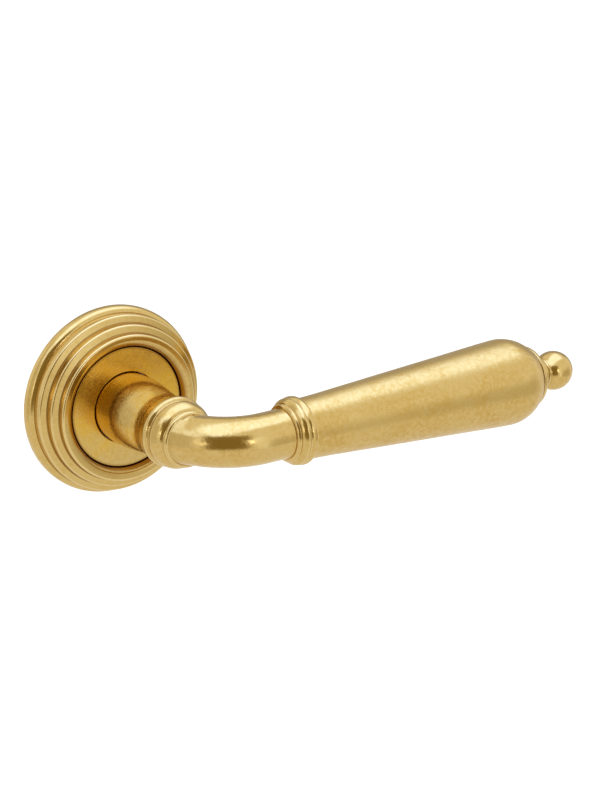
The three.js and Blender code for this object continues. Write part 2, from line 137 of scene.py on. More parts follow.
class LeverSizes(bpy.types.PropertyGroup):
    """Sizes of the lever that a maker would change."""

    arm_radius: FloatProperty(
        name="Arm radius",
        description="Radius of the round arm between the collar and the ferrule",
        default=6.55 * MM,
        unit="LENGTH",
    )
    bend_radius: FloatProperty(
        name="Bend radius",
        description="Radius of the arm's centreline round its bend",
        default=16.85 * MM,
        unit="LENGTH",
    )
    bend_end: FloatProperty(
        name="Bend end",
        description="Where the bend meets the grip's axis, along the lever",
        default=15.9 * MM,
        unit="LENGTH",
    )
    turning_steps: IntProperty(
        name="Turning steps",
        description="Faces round each turned piece",
        default=128,
        min=24,
        max=256,
    )


def colour(name, description, default):
    """A colour that the panel can change."""
    return FloatVectorProperty(
        name=name, description=description, default=default, subtype="COLOR", size=3, min=0, max=1
    )


class Finishes(bpy.types.PropertyGroup):
    """Colours of the metals and plastics."""

    brass: colour("Brass", "Clean satin brass", (0.69, 0.495, 0.185))
    aged_brass: colour("Aged brass", "Brass where its surface has darkened", (0.56, 0.335, 0.055))
    # On the neck this is the brass's golden patina; on the face ring it is painted shade darkening the ring's
    # top.
    golden_brass: colour("Golden brass", "Old, burnished brass on the neck and ring", (0.80, 0.49, 0.048))
    # Painted shade: the brown that darkens grooves, corners and the rim round the face ring's gap.
    brown_brass: colour("Brown brass", "Old brass in grooves and corners", (0.30, 0.145, 0.022))
    # Painted shadow in the gap round the face ring.
    gap_brown: colour("Gap brown", "Old polish and dirt in the gaps", (0.16, 0.04, 0.006))
    # Painted highlight on crests, standing also for brass rubbed bright there.
    worn_brass: colour("Worn brass", "Brass rubbed bright on a crest", (0.84, 0.66, 0.32))
    zinc: colour("Zinc", "Die-cast zinc", (0.36, 0.365, 0.37))
    plating: colour("Zinc plating", "Bright zinc plating on steel", (0.56, 0.57, 0.59))
    steel: colour("Spring steel", "Oiled spring steel", (0.17, 0.175, 0.19))
    black_oxide: colour("Black oxide", "Blackened screws", (0.045, 0.047, 0.052))
    nylon: colour("Nylon", "Natural nylon", (0.78, 0.75, 0.66))


class StudioSizes(bpy.types.PropertyGroup):
    """The floor and the lights."""

    floor_drop: FloatProperty(
        name="Floor drop",
        description="How far the floor lies below the spindle's axis",
        default=0.3,
        unit="LENGTH",
    )
    room_light: FloatProperty(
        name="Room light", description="Strength of the even white light", default=1.0, min=0
    )
    softbox_power: FloatProperty(
        name="Softbox power", description="Power of the softbox overhead", default=2.6, min=0, unit="POWER"
    )
    silk_glow: FloatProperty(
        name="Silk glow", description="How bright the softbox's silk looks in the metal", default=2.3, min=0
    )
    table_glow: FloatProperty(
        name="Table glow", description="How bright the table looks in the metal", default=0.9, min=0
    )


# ---- outlines: lists of (radius, distance along the axis), in millimetres ----
def arc(centre, radius, start, end, points=8):
    """Points round an arc of an outline, between two angles in degrees."""
    for i in range(points + 1):
        angle = math.radians(start + (end - start) * i / points)
        yield centre[0] + radius * math.cos(angle), centre[1] + radius * math.sin(angle)


def flowing(knots, points=7):
    """A smooth curve through given knots."""
    knots = [Vector(k) for k in knots]
    ends = [knots[0], *knots, knots[-1]]
    curve = [knots[0]]
    for before, here, there, after in zip(ends, ends[1:], ends[2:], ends[3:]):
        leave = here + (there - before) / 6
        arrive = there - (after - here) / 6
        curve += interpolate_bezier(here, leave, arrive, there, points)[1:]
    return [tuple(p) for p in curve]


def rounded(outline, outer, inner, least=25):
    """Rounds a closed outline's corners: those that stand out with one radius, the others with another."""
    points = [Vector(p) for p in outline]
    for before, corner, after in zip([points[-1], *points], points, [*points[1:], points[0]]):
        back, ahead = before - corner, after - corner
        turned_by = math.pi - back.angle(ahead, math.pi)
        radius = outer if back.cross(ahead) < 0 else inner
        if math.degrees(turned_by) < least or radius == 0:
            yield tuple(corner)
            continue
        trim = min(radius * math.tan(turned_by / 2), 0.48 * back.length, 0.48 * ahead.length)
        enter, leave = corner + trim * back.normalized(), corner + trim * ahead.normalized()
        bow = 0.55
        curve = interpolate_bezier(enter, enter.lerp(corner, bow), leave.lerp(corner, bow), leave, 7)
        yield from (tuple(p) for p in curve)


# ---- mesh work ----
def on_spindle(radius, reach):
    """A point of an outline that turns about the spindle's axis."""
    return Vector((0, -reach, radius)) * MM


def on_grip(radius, x):
    """A point of an outline that turns about the grip's axis."""
    return Vector((x, -GRIP_REACH, radius)) * MM


def drill(bm, cutter):
    """Cuts one bmesh out of another, and gives back what is left."""
    parts = []
    for shape in (bm, cutter):
        mesh = bpy.data.meshes.new("stock")
        shape.to_mesh(mesh)
        shape.free()
        parts.append(bpy.data.objects.new("stock", mesh))
        bpy.context.scene.collection.objects.link(parts[-1])
    cut = parts[0].modifiers.new("hole", "BOOLEAN")
    cut.operation = "DIFFERENCE"
    cut.solver = "EXACT"
    cut.object = parts[1]
    evaluated = parts[0].evaluated_get(bpy.context.evaluated_depsgraph_get())
    left = bmesh.new()
    left.from_mesh(evaluated.to_mesh())
    evaluated.to_mesh_clear()
    for part in parts:
        mesh = part.data
        bpy.data.objects.remove(part)
        bpy.data.meshes.remove(mesh)
    return left


def turn(outline, steps, place=on_spindle, closed=True):
    """A bmesh of an outline turned a full circle about the spindle's axis or the grip's."""
    bm = bmesh.new()
    verts = [bm.verts.new(place(r, along)) for r, along in outline]
    pairs = list(zip(verts, verts[1:]))
    if closed:
        pairs.append((verts[-1], verts[0]))
    edges = [bm.edges.new(pair) for pair in pairs]
    axis = (0, 1, 0) if place is on_spindle else (1, 0, 0)
    bmesh.ops.spin(
        bm,
        geom=verts + edges,
        cent=place(0, 0),
        axis=axis,
        angle=FULL_TURN,
        steps=steps,
        use_merge=True,
    )
    tidy(bm)
    return bm


def tidy(bm):
    """Merges doubles, drops what they leave empty and turns every face outwards."""
    bmesh.ops.remove_doubles(bm, verts=bm.verts, dist=0.002 * MM)
    bmesh.ops.dissolve_degenerate(bm, dist=0.001 * MM, edges=bm.edges)
    bmesh.ops.recalc_face_normals(bm, faces=bm.faces)


def mark_bends(mesh_object):
    """Stores how tightly the surface bends at each vertex, per millimetre: crests plus, grooves minus."""
    mesh = mesh_object.data
    bm = bmesh.new()
    bm.from_mesh(mesh)
    bends = []
    for vert in bm.verts:
        area = sum(f.calc_area() for f in vert.link_faces) / 4
        shared = [e for e in vert.link_edges if e.is_manifold]
        turned_by = sum(e.calc_face_angle_signed(0) * e.calc_length() for e in shared)
        bends.append(turned_by / max(4 * area, 1e-12) * MM)
    bm.free()
    attribute = mesh.attributes.new("bend", "FLOAT", "POINT")
    attribute.data.foreach_set("value", bends)


def make_piece(bm, name, material, body, slot, *stands_for):
    """Turns a bmesh into a finished piece that rides on a body in place of CAD nodes."""
    mesh = bpy.data.meshes.new(name)
    bm.to_mesh(mesh)
    bm.free()
    mesh.shade_smooth()
    mesh.materials.append(material)
    made = bpy.data.objects.new(name, mesh)
    bpy.context.scene.collection.objects.link(made)
    mark_bends(made)
    weighted = made.modifiers.new("even_shading", "WEIGHTED_NORMAL")
    weighted.weight = 60
    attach(made, body)
    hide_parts(*stands_for)
    return made


# ---- materials ----
def add_node(tree, kind, inputs=(), **settings):
    """Adds a shader node, with its settings, and its inputs as sockets to link or values to set."""
    made = tree.nodes.new("ShaderNode" + kind)
    for name, value in settings.items():
        setattr(made, name, value)
    for name, value in dict(inputs).items():
        if isinstance(value, bpy.types.NodeSocket):
            tree.links.new(value, made.inputs[name])
        else:
            made.inputs[name].default_value = value
    return made


def start_material(name):
    """A new material with its shader, and the object's coordinates in millimetres."""
    material = bpy.data.materials.new(name)
    material.use_nodes = True
    tree = material.node_tree
    tree.nodes.clear()
    shader = add_node(tree, "BsdfPrincipled")
    output = add_node(tree, "OutputMaterial", {"Surface": shader.outputs[0]})
    output.location = (300, 0)
    here = add_node(tree, "TexCoord").outputs["Object"]
    in_mm = add_node(tree, "Mapping", {"Vector": here, "Scale": (1 / MM,) * 3}).outputs[0]
    return material, tree, shader, in_mm


def speckle(tree, place, scale, detail=3.0, roughness=0.55, distortion=0.0):
    """Noise between 0 and 1, at so many spots to the millimetre."""
    inputs = {
        "Vector": place,
        "Scale": scale,
        "Detail": detail,
        "Roughness": roughness,
        "Distortion": distortion,
    }
    return add_node(tree, "TexNoise", inputs).outputs[0]


def spread(tree, value, low, high, to_low=0.0, to_high=1.0):
    """Maps a value from one range to another, and holds it there."""
    inputs = {
        "Value": value,
        "From Min": low,
        "From Max": high,
        "To Min": to_low,
        "To Max": to_high,
    }
    return add_node(tree, "MapRange", inputs).outputs[0]


def combine(tree, operation, first, second):
    """One sum of two values, each a socket or a number."""
    return add_node(tree, "Math", {0: first, 1: second}, operation=operation).outputs[0]


def blend_colours(tree, share, first, second):
    """Goes from the first colour to the second as the share goes from 0 to 1."""
    inputs = {0: share}
    for index, value in ((6, first), (7, second)):
        inputs[index] = value if isinstance(value, bpy.types.NodeSocket) else (*value, 1)
    return add_node(tree, "Mix", inputs, data_type="RGBA").outputs[2]


def surface_bump(tree, shader, layers):
    """Chains bumps on a shader: each layer is a height from 0 to 1 and its depth in millimetres."""
    normal = None
    for height, depth in layers:
        inputs = {"Height": height, "Distance": depth * MM, "Strength": 1.0}
        if normal is not None:
            inputs["Normal"] = normal
        normal = add_node(tree, "Bump", inputs).outputs[0]
    tree.links.new(normal, shader.inputs["Normal"])


def near_gap(tree, place, gap_radius, reach):
    """How close a point lies to a round gap about the spindle: 1 at the gap, 0 at that reach from it."""
    across = add_node(tree, "VectorMath", {0: place, 1: (1, 0, 1)}, operation="MULTIPLY").outputs[0]
    radius = add_node(tree, "VectorMath", {0: across}, operation="LENGTH").outputs["Value"]
    apart = combine(tree, "ABSOLUTE", combine(tree, "SUBTRACT", radius, gap_radius), 0.0)
    return spread(tree, apart, reach, 0.12)


def make_brass(name, finishes, smoothest, roughest, age, **more):
    """Brass with a mottled aged film, painted groove shade, painted crest highlights and fine dents.

    smoothest and roughest are the ends of its roughness, and age is how strong the film is. dents
    scales the dents, grime is how brown the painted shade in the grooves is, and
    rubbed how bright the painted highlight on the crests is. gap_halo is how far
    painted brown shade spreads from the gap round the face ring. neck is the reach where the neck's
    golden film gives way to the brighter arm, and thumb_spot a place where that tint fades to plain
    brass. clean_below and golden_above are the heights between which the golden tint comes back,
    as painted shade over the top of the face ring.
    """
    dents = more.get("dents", 1.0)
    material, tree, shader, place = start_material(name)
    clouds = speckle(tree, place, 0.11, 4, 0.6, 0.4)
    waves = speckle(tree, place, 0.3, 2, 0.5)
    mottle = speckle(tree, place, 0.9, 5, 0.68)
    grain = speckle(tree, place, 4.5, 2, 0.5)
    bend = add_node(tree, "Attribute", attribute_name="bend").outputs["Fac"]
    # Painted shade: grooves turn brown by how tightly the surface bends inwards.
    groove = spread(tree, bend, -0.05, -0.5, 0, more.get("grime", 0.75))
    # A painted highlight lightens the crests by how they bend outwards, and stands also for brass rubbed
    # bright there.
    crest = spread(tree, bend, 0.25, 1.1, 0, more.get("rubbed", 0.5))

    film = combine(tree, "MULTIPLY", spread(tree, clouds, 0.36, 0.66, 0.35), spread(tree, mottle, 0.34, 0.66))
    film = combine(tree, "MULTIPLY", film, age)
    base = blend_colours(tree, film, finishes.brass, finishes.aged_brass)
    cloudy = spread(tree, clouds, 0.3, 0.7, 0.2, 0.6)
    old = combine(tree, "ADD", cloudy, spread(tree, mottle, 0.3, 0.7, 0, 0.4))
    if "neck" in more:
        depth = add_node(tree, "SeparateXYZ", {0: place}).outputs["Y"]
        old = combine(tree, "MULTIPLY", old, spread(tree, depth, -more["neck"], 4 - more["neck"]))
        spot = {0: place, 1: more["thumb_spot"]}
        from_spot = add_node(tree, "VectorMath", spot, operation="DISTANCE").outputs["Value"]
        uneven = combine(tree, "ADD", from_spot, spread(tree, mottle, 0.3, 0.7, -2.0, 2.0))
        old = combine(tree, "MULTIPLY", old, spread(tree, uneven, 4.0, 9.5, 0.1))
        base = blend_colours(tree, old, base, finishes.golden_brass)
    # Painted shade: the golden tint comes back over the top of the face ring, darker there and clean towards
    # its bottom.
    if "clean_below" in more:
        height = add_node(tree, "SeparateXYZ", {0: place}).outputs["Z"]
        uneven = combine(tree, "ADD", height, spread(tree, clouds, 0.3, 0.7, -4.0, 4.0))
        old = combine(tree, "MULTIPLY", old, spread(tree, uneven, more["clean_below"], more["golden_above"]))
        base = blend_colours(tree, old, base, finishes.golden_brass)
    base = blend_colours(tree, groove, base, finishes.brown_brass)
    base = blend_colours(tree, crest, base, finishes.worn_brass)
    # Painted shade spreads brown from the gap round the face ring, with a darker painted shadow at the gap
    # itself.
    if "gap_halo" in more:
        close = near_gap(tree, place, DISC_RADIUS + GAP / 2, more["gap_halo"])
        base = blend_colours(tree, combine(tree, "MULTIPLY", close, 0.85), base, finishes.brown_brass)
        close = near_gap(tree, place, DISC_RADIUS + GAP / 2, 0.36)
        base = blend_colours(tree, close, base, finishes.gap_brown)
    tree.links.new(base, shader.inputs["Base Color"])
    shader.inputs["Metallic"].default_value = 1.0

    dull = combine(tree, "MULTIPLY", spread(tree, mottle, 0.3, 0.7), 0.6)
    dull = combine(tree, "ADD", dull, combine(tree, "MULTIPLY", film, 0.4))
    tree.links.new(spread(tree, dull, 0, 1, smoothest, roughest), shader.inputs["Roughness"])
    surface_bump(tree, shader, [(waves, 0.05 * dents), (mottle, 0.03 * dents), (grain, 0.004)])
    return material


def make_plain_metal(name, tint, smooth, rough, spots, depth, stretch=(1, 1, 1)):
    """Cast, plated or drawn metal: spots to the millimetre, drawn out by a stretch along each axis."""
    material, tree, shader, place = start_material(name)
    drawn = add_node(tree, "Mapping", {"Vector": place, "Scale": stretch}).outputs[0]
    fine = speckle(tree, drawn, spots, 4, 0.6)
    broad = speckle(tree, place, 0.15, 3, 0.5)
    darker = tuple(0.72 * c for c in tint)
    base = blend_colours(tree, spread(tree, combine(tree, "MULTIPLY", fine, broad), 0.12, 0.4), darker, tint)
    tree.links.new(base, shader.inputs["Base Color"])
    tree.links.new(spread(tree, fine, 0.3, 0.7, smooth, rough), shader.inputs["Roughness"])
    shader.inputs["Metallic"].default_value = 1.0
    surface_bump(tree, shader, [(fine, depth)])
    return material


def make_nylon(name, tint):
    """Natural nylon, a little cloudy where it flowed into the mould."""
    material, tree, shader, place = start_material(name)
    flow = speckle(tree, place, 0.4, 3, 0.5)
    fine = speckle(tree, place, 4, 2, 0.5)
    darker = tuple(0.86 * c for c in tint)
    base = blend_colours(tree, spread(tree, flow, 0.3, 0.7), darker, tint)
    tree.links.new(base, shader.inputs["Base Color"])
    tree.links.new(spread(tree, fine, 0.3, 0.7, 0.42, 0.58), shader.inputs["Roughness"])
    surface_bump(tree, shader, [(fine, 0.006)])
    return material


def finish(name):
    """One of the door lever's finishes, made the first time that it is asked for."""
    if name in bpy.data.materials:
        return bpy.data.materials[name]
    f = bpy.context.scene.lever_finishes
    makers = {
        "satin_brass_cover": lambda n: make_brass(
            n, f, 0.12, 0.22, 0.6, dents=0.15, grime=0.9, rubbed=0.7, gap_halo=1.9
        ),
        "satin_brass_grip": lambda n: make_brass(n, f, 0.22, 0.4, 0.85, grime=0.3),
        "polished_brass": lambda n: make_brass(n, f, 0.1, 0.24, 0.6, dents=0.5, grime=0.15),
        "arm_brass": lambda n: make_brass(n, f, 0.1, 0.26, 0.7, grime=0.5, neck=33, thumb_spot=THUMB_SPOT),
        "burnished_brass_disc": lambda n: make_brass(
            n, f, 0.22, 0.36, 0.6, dents=0.75, rubbed=0, gap_halo=0.9, clean_below=-13, golden_above=-3
        ),
        "zinc_casting": lambda n: make_plain_metal(n, f.zinc, 0.42, 0.62, 2.2, 0.03),
        "zinc_plating": lambda n: make_plain_metal(n, f.plating, 0.25, 0.42, 1.6, 0.008, (1, 0.08, 1)),
        "oiled_steel": lambda n: make_plain_metal(n, f.steel, 0.22, 0.4, 3.0, 0.006),
        "black_oxide_steel": lambda n: make_plain_metal(n, f.black_oxide, 0.3, 0.5, 3.0, 0.006),
        "natural_nylon": lambda n: make_nylon(n, f.nylon),
    }
    return makers[name](name)


# ---- the rose ----
class LEVER_OT_cover(bpy.types.Operator):
    """Turn the stepped cover of the rose"""

    bl_idname = "lever.cover"
    bl_label = "Rose cover"

    def execute(self, context):
        sizes = context.scene.lever_rose
        wall = sizes.cover_wall / MM
        # Each step's riser radius, and the reach of its foot and of its crest.
        steps = [
            (COVER_RADIUS, COVER_BACK, 3.5),
            (24.45, 3.55, 6.1),
            (22.35, 6.6, 8.7),
            (20.2, 9.2, COVER_CREST),
        ]
        mouth = DISC_RADIUS + GAP
        rim = 2.0
        outline = [(COVER_RADIUS, COVER_BACK), *arc((COVER_RADIUS - rim, 3.55 - rim), rim, 0, 75)]
        for radius, foot, crest in steps[1:]:
            outline += [(radius, foot), (radius, crest)]
        outline += [(18.9, 11.0), *arc((18.9, 8.9), 2.1, 96, 150, 6), (mouth, 9.6), (mouth, 7.9)]
        outline += [(mouth + wall, 7.9), (mouth + wall, 9.0)]
        for radius, foot, crest in reversed(steps):
            outline += [(radius - wall, crest - wall), (radius - wall, max(foot - wall, COVER_BACK))]
        bm = turn(rounded(outline, sizes.crest_rounding / MM, sizes.foot_rounding / MM), sizes.turning_steps)
        make_piece(bm, "cover_shell", finish("satin_brass_cover"), "rose", "satin_brass", "rose_cover")
        return {"FINISHED"}


class LEVER_OT_disc(bpy.types.Operator):
    """Turn the flat ring in the middle of the rose"""

    bl_idname = "lever.disc"
    bl_label = "Face ring"

    def execute(self, context):
        bore = 9.8
        outline = [(bore, DISC_BACK), (DISC_RADIUS, DISC_BACK), (DISC_RADIUS, DISC_FACE), (bore, DISC_FACE)]
        bm = turn(rounded(outline, 0.3, 0), context.scene.lever_rose.turning_steps)
        make_piece(bm, "face_ring", finish("burnished_brass_disc"), "rose", "burnished_brass", "face_disc")
        return {"FINISHED"}


# ---- the lever ----
def neck_outline(start):
    """The neck from its shoulder, the flange, the ovolo and the lip that the arm comes out of."""
    swell = [(9.6, start), (9.62, 11), (9.7, 13.5), (9.6, 16.5), (9.2, 20), (8.75, 23.5), (8.42, 27)]
    neck = flowing([*swell, (8.5, 29.2)])
    flange = flowing([(8.5, 29.3), (8.72, 31.0), (9.15, 32.2), (9.42, 33.2), (9.38, 34.0), (9.0, 34.5)])
    bowl = [(8.6, 34.78), (8.48, 35.1), (8.72, 35.5), (9.0, 36.2), (8.85, 37.2), (8.35, 38.3)]
    ovolo = flowing([*bowl, (7.7, 39.1)])
    hollow = [(7.15, 39.45), (6.9, 39.8), (7.1, 40.15)]
    bead = [(7.42, 40.5), (7.45, 40.85), (7.1, 41.25), (6.7, 41.35)]
    lip = flowing(hollow + bead, 5)
    return neck + flange[1:] + ovolo + lip


def arm_stations(sizes, start_angle):
    """Centre, heading and flare of each section: round the bend, then straight to the ferrule."""
    bend = sizes.bend_radius / MM
    corner = (sizes.bend_end / MM, GRIP_REACH - bend)
    sections = 22
    for i in range(sections + 1):
        angle = math.radians(start_angle + (90 - start_angle) * i / sections)
        centre = (corner[0] - bend * math.cos(angle), corner[1] + bend * math.sin(angle))
        yield centre, angle, 0
    for x, flare in ((18.5, 0), (21.0, 0.03), (FERRULE_START - 0.12, 0.1), (FERRULE_START - 0.02, 0.1)):
        yield (x, GRIP_REACH), math.radians(90), flare


def add_section(bm, ring, centre, heading, radius):
    """Extrudes a ring of edges to a new section: its centre, heading and radius in millimetres."""
    made = bmesh.ops.extrude_edge_only(bm, edges=ring)["geom"]
    verts = [v for v in made if isinstance(v, bmesh.types.BMVert)]
    edges = [e for e in made if isinstance(e, bmesh.types.BMEdge) and all(v in verts for v in e.verts)]
    middle = sum((v.co for v in verts), Vector()) / len(verts)
    old_normal = (verts[0].co - middle).cross(verts[len(verts) // 4].co - middle).normalized()
    new_normal = Vector((math.sin(heading), -math.cos(heading), 0))
    if old_normal.dot(new_normal) < 0:
        old_normal.negate()
    turned = old_normal.rotation_difference(new_normal).to_matrix()
    target = Vector((centre[0], -centre[1], 0)) * MM
    for v in verts:
        arm = turned @ (v.co - middle)
        v.co = target + arm.normalized() * radius * MM
    return edges


def edges_at(bm, reach):
    """The edges that lie flat at one reach."""
    return [e for e in bm.edges if all(abs(v.co.y + reach * MM) < 1e-6 for v in e.verts)]


def square_socket(bm, side, mouth_reach, depth_reach):
    """Closes the tail's open end with a flat face and a square socket for the spindle."""
    ring = [e for e in edges_at(bm, mouth_reach) if e.is_boundary]
    for reach in (mouth_reach, depth_reach):
        made = bmesh.ops.extrude_edge_only(bm, edges=ring)["geom"]
        verts = [v for v in made if isinstance(v, bmesh.types.BMVert)]
        ring = [e for e in made if isinstance(e, bmesh.types.BMEdge) and all(v in verts for v in e.verts)]
        for v in verts:
            widest = max(abs(v.co.x), abs(v.co.z))
            v.co.x *= side / 2 * MM / widest
            v.co.z *= side / 2 * MM / widest
            v.co.y = -reach * MM
    bmesh.ops.holes_fill(bm, edges=ring)


def cut_flats(bm, half_width, front):
    """Presses the round tail in to two flats, as far as a reach."""
    for v in bm.verts:
        if -v.co.y < (front + 0.01) * MM:
            v.co.x = max(-half_width * MM, min(half_width * MM, v.co.x))


class LEVER_OT_arm(bpy.types.Operator):
    """Turn the neck and collar, and sweep the arm out of the collar's lip"""

    bl_idname = "lever.arm"
    bl_label = "Neck and arm"

    def execute(self, context):
        sizes = context.scene.lever_sizes
        groove = [(7.6, 0.95), (7.2, 0.95), (7.2, 1.75), (8, 1.75)]
        tail = [(7.35, TAIL_END), (7.6, TAIL_END + 0.25), *groove, (8, 4.7), (8, 4.75), (8, 8.1)]
        outline = tail + neck_outline(8.1)
        bm = turn(outline, sizes.turning_steps, closed=False)
        cut_flats(bm, 7, 4.7)
        ring = edges_at(bm, outline[-1][1])
        for centre, heading, flare in arm_stations(sizes, 27):
            ring = add_section(bm, ring, centre, heading, sizes.arm_radius / MM + flare)
        bore = 5.0
        for x, radius in ((FERRULE_START - 0.02, bore), (33.5, bore), (34, bore - 0.5)):
            ring = add_section(bm, ring, (x, GRIP_REACH), math.radians(90), radius)
        bmesh.ops.holes_fill(bm, edges=ring)
        square_socket(bm, SPINDLE_SIDE + 0.4, TAIL_END, SPINDLE_FRONT + 0.5)
        tidy(bm)
        # The grub screw's hole runs from the spindle out through the underside of the neck.
        depth = 8.4
        radius = GRUB_HOLE_RADIUS * MM
        hole = bmesh.new()
        bmesh.ops.create_cone(
            hole, cap_ends=True, segments=48, radius1=radius, radius2=radius, depth=depth * MM
        )
        bmesh.ops.translate(hole, vec=Vector((0, -GRUB_REACH, -8.1)) * MM, verts=hole.verts)
        bm = drill(bm, hole)
        make_piece(bm, "neck_and_arm", finish("arm_brass"), "lever", "satin_brass", "lever_arm")
        return {"FINISHED"}


class LEVER_OT_ferrule(bpy.types.Operator):
    """Turn the beaded ferrule between the arm and the grip"""

    bl_idname = "lever.ferrule"
    bl_label = "Ferrule"

    def execute(self, context):
        bore = 5.25
        bead = [(6.96, FERRULE_START + 0.05), (7.28, 22.12), (7.56, 22.42), (7.7, 22.68), (7.55, 22.92)]
        swell = [(7.5, 23.0), (7.85, 23.2), (8.2, 23.5), (8.5, 23.82), (8.72, 24.15), (8.82, 24.5)]
        band = [(8.64, 25.02), (8.86, 25.25), (9.05, 25.8), (9.05, 26.4), (8.85, 26.95), (8.3, 27.2)]
        outline = [
            (bore, FERRULE_START),
            (6.9, FERRULE_START),
            *flowing(bead, 5),
            *flowing([*swell, (8.75, 24.85)]),
            *flowing(band),
            (7.8, FERRULE_END),
            (bore, FERRULE_END),
        ]
        bm = turn(outline, context.scene.lever_sizes.turning_steps, on_grip)
        make_piece(bm, "ferrule_beads", finish("polished_brass"), "lever", "satin_brass", "grip_ferrule")
        return {"FINISHED"}


class LEVER_OT_grip(bpy.types.Operator):
    """Turn the long grip, which swells to a domed end"""

    bl_idname = "lever.grip"
    bl_label = "Grip"

    def execute(self, context):
        swell = flowing(
            [
                (7.75, GRIP_START + 0.1),
                (8.0, GRIP_START + 0.45),
                (8.26, 34),
                (8.88, 44),
                (9.9, 60),
                (10.89, 76),
                (11.54, 86),
                (11.86, 91.2),
                (12.02, 94.6),
            ],
            12,
        )
        crest = 95.2
        dome_end = math.degrees(math.asin((GRIP_END - crest) / GRIP_RADIUS))
        dome = list(arc((0, crest), GRIP_RADIUS, 2, dome_end, 20))
        inside = [(dome[-1][0] - 0.06, GRIP_END), (3, GRIP_END), (3, 34.3), (5.3, 34.3)]
        outline = [(5.3, GRIP_START + 0.1), *swell, *dome, *inside]
        bm = turn(outline, context.scene.lever_sizes.turning_steps, on_grip)
        make_piece(bm, "grip_body", finish("satin_brass_grip"), "lever", "satin_brass", "grip")
        return {"FINISHED"}


class LEVER_OT_end(bpy.types.Operator):
    """Turn the coved collar and the ball at the end of the grip"""

    bl_idname = "lever.end"
    bl_label = "End collar and ball"

    def execute(self, context):
        steps = context.scene.lever_sizes.turning_steps
        bore = 2.8
        collar = [
            (bore, CUP_START),
            (8.5, CUP_START),
            (8.56, CUP_START),
            *flowing([(8.68, CUP_START + 0.1), (8.6, 104.5), (8.25, 105.1), (7.55, 105.5)], 5),
            (7.05, 105.62),
            *arc((8.6, CUP_END + 0.3), 4.5, 242, 184, 12),
            (bore, CUP_END),
        ]
        bm = turn(collar, steps, on_grip)
        make_piece(bm, "coved_collar", finish("polished_brass"), "lever", "satin_brass", "end_collar")

        centre = BALL_END - BALL_RADIUS
        touch = math.degrees(math.acos((110.5 - centre) / BALL_RADIUS))
        ball = [
            (2.7, BALL_START),
            (3.75, BALL_START),
            *flowing([(3.92, BALL_START + 0.1), (4.05, BALL_START + 0.35), (3.98, 110.3)], 4),
            *arc((0, centre), BALL_RADIUS, 90 - touch, 90, 26),
            (0, 113.6),
            (2.7, 113.6),
        ]
        bm = turn(ball, steps, on_grip)
        make_piece(bm, "ball_end", finish("polished_brass"), "lever", "satin_brass", "ball_finial")
        return {"FINISHED"}


# ---- fixings and the cassette ----
class LEVER_OT_fixings(bpy.types.Operator):
    """Turn the bolt posts and shape the square spindle"""

    bl_idname = "lever.fixings"
    bl_label = "Posts and spindle"

    def execute(self, context):
        bore = 1.75
        post = [(bore, POST_BACK), (POST_RADIUS, POST_BACK), (POST_RADIUS, POST_FRONT), (bore, POST_FRONT)]
        for place in ("upper", "lower"):
            low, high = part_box(f"bolt_post_{place}")
            bm = turn(rounded(post, 0.45, 0), 64)
            bmesh.ops.translate(bm, vec=(0, 0, (low.z + high.z) / 2), verts=bm.verts)
            name = f"turned_post_{place}"
            make_piece(bm, name, finish("zinc_plating"), "rose", "zinc_plated_steel", f"bolt_post_{place}")

        bm = bmesh.new()
        bmesh.ops.create_cube(bm, size=1)
        length = SPINDLE_FRONT - SPINDLE_BACK
        bmesh.ops.scale(bm, vec=Vector((SPINDLE_SIDE, length, SPINDLE_SIDE)) * MM, verts=bm.verts)
        middle = (SPINDLE_FRONT + SPINDLE_BACK) / 2
        bmesh.ops.translate(bm, vec=(0, -middle * MM, 0), verts=bm.verts)
        ends = [e for e in bm.edges if abs(e.verts[0].co.y - e.verts[1].co.y) < 1e-6]
        sides = [e for e in bm.edges if e not in ends]
        for edges, width, segments in ((ends, 0.6, 1), (sides, 0.25, 3)):
            bmesh.ops.bevel(
                bm,
                geom=[e for e in edges if e.is_valid],
                offset=width * MM,
                offset_type="OFFSET",
                affect="EDGES",
                segments=segments,
                profile=0.5,
                material=-1,
            )
        make_piece(bm, "square_bar", finish("zinc_plating"), "lever", "zinc_plated_steel", "spindle")
        return {"FINISHED"}


class LEVER_OT_inside(bpy.types.Operator):
    """Finish the plate, spring cassette and screws"""

    bl_idname = "lever.inside"
    bl_label = "Plate and cassette"

    def execute(self, context):
        finishes = {
            "zinc_casting": ("base_plate", "spring_housing"),
            "zinc_plating": ("housing_lid", "cam_ring", "tie_rod"),
            "oiled_steel": (
                "cover_snap_ring",
                "return_spring",
                "stop_pin_rest",
                "stop_pin_down",
                "circlip",
                "wave_washer",
            ),
            "black_oxide_steel": (
                "post_screw_upper",
                "post_screw_lower",
                "housing_screw_right",
                "housing_screw_left",
                "grub_screw",
            ),
            "natural_nylon": ("neck_bush", "thrust_washer"),
        }
        for name, nodes in finishes.items():
            for node in nodes:
                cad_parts[node].material_slots[0].material = finish(name)
        return {"FINISHED"}


# ---- the studio ----
def add_card(name, centre, size, facing, material):
    """A flat card that lights or shades the metal and that the camera doesn't see."""
    bm = bmesh.new()
    bm.loops.layers.uv.new("card")
    bmesh.ops.create_grid(bm, x_segments=1, y_segments=1, size=0.5, calc_uvs=True)
    bmesh.ops.scale(bm, vec=(size[0], size[1], 1), verts=bm.verts)
    turned = facing.to_track_quat("Z", "Y").to_matrix().to_4x4()
    bmesh.ops.transform(bm, matrix=Matrix.Translation(centre) @ turned, verts=bm.verts)
    mesh = bpy.data.meshes.new(name)
    bm.to_mesh(mesh)
    bm.free()
    mesh.materials.append(material)
    made = bpy.data.objects.new(name, mesh)
    bpy.context.scene.collection.objects.link(made)
    made.visible_camera = False
    made.visible_diffuse = False
    made.visible_shadow = False
    return made


